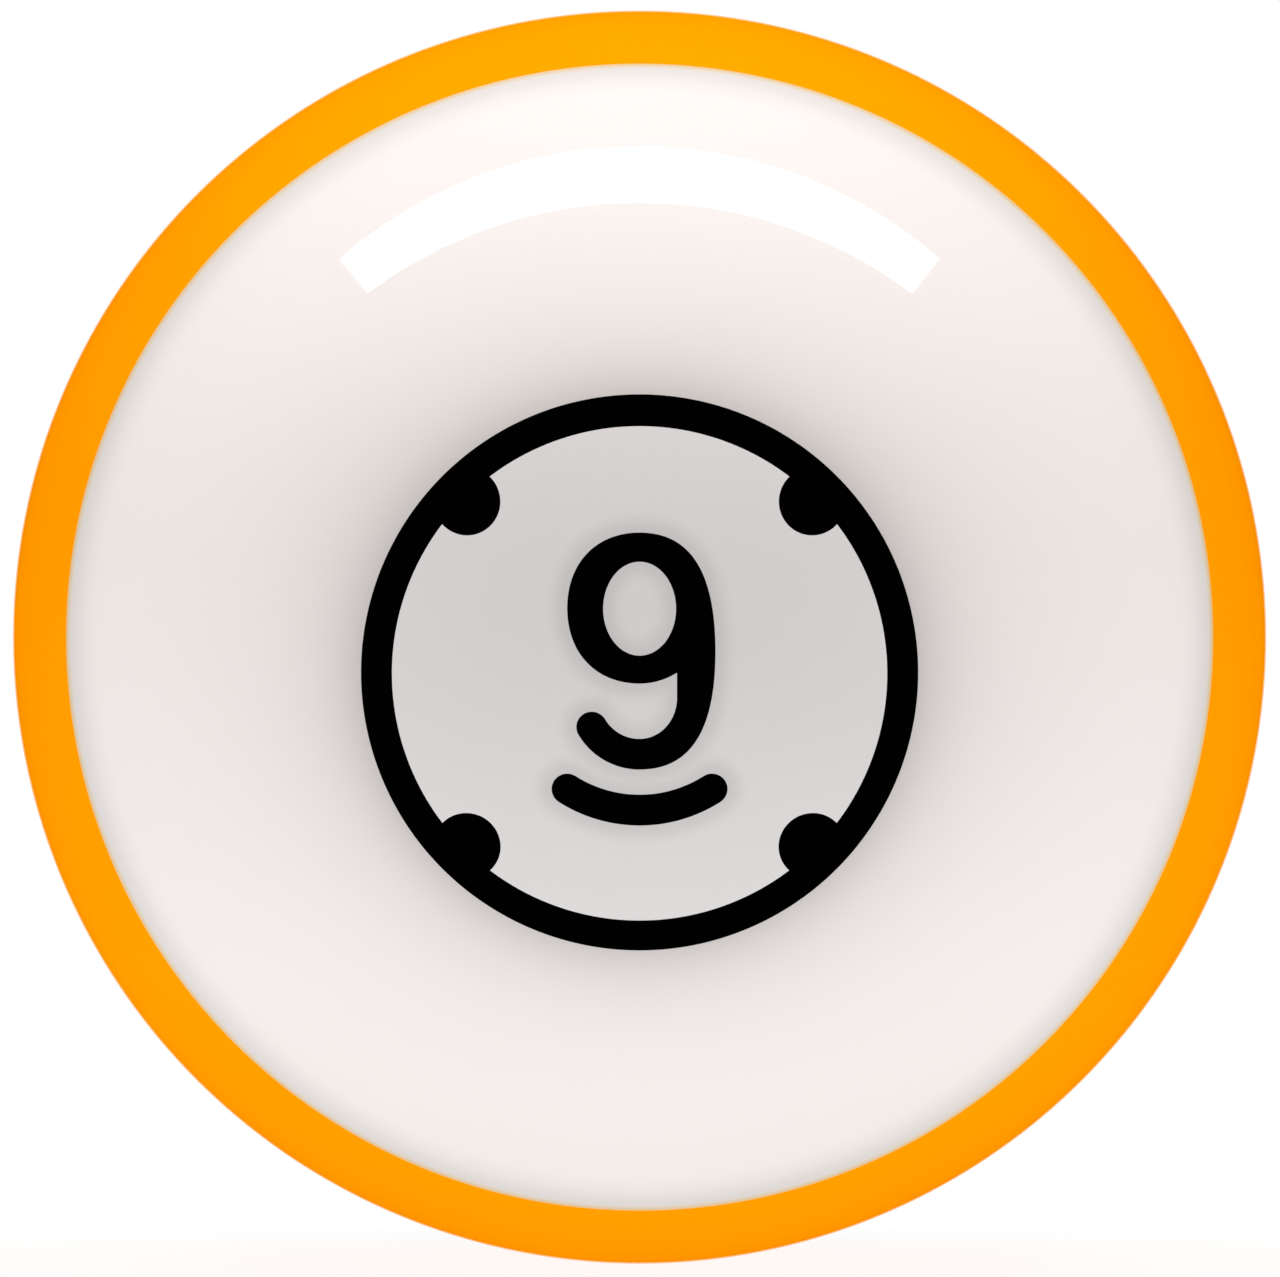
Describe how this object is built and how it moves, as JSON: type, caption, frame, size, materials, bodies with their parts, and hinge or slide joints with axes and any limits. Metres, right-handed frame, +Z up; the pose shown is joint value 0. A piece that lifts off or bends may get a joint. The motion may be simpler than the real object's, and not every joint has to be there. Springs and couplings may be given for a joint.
{
  "type": "numbered pool ball",
  "caption": "Striped pool ball of cast resin: orange stripe slab between two white caps, each with a round number plug with a black ring, nine and underline.",
  "frame": {"origin": "centre of the ball", "axes": "+Y along the stripe's axis, towards the rear cap; -Y towards the front cap, whose number reads upright with +Z up and +X to its right; -Z towards the point it rests on"},
  "size_m": [0.0572, 0.0572, 0.0572],
  "materials": {
    "orange_resin": "polished gloss",
    "white_resin": "polished gloss",
    "number_white_resin": "polished gloss",
    "black_resin": "polished gloss"
  },
  "bodies": {
    "root": {"stripe_core": "orange_resin", "front_cap": "white_resin", "front_number_ring": "black_resin", "front_number_disc": "number_white_resin", "front_numeral_nine": "black_resin", "front_numeral_underline": "black_resin", "rear_cap": "white_resin", "rear_number_ring": "black_resin", "rear_number_disc": "number_white_resin", "rear_numeral_nine": "black_resin", "rear_numeral_underline": "black_resin"}
  },
  "joints": []
}
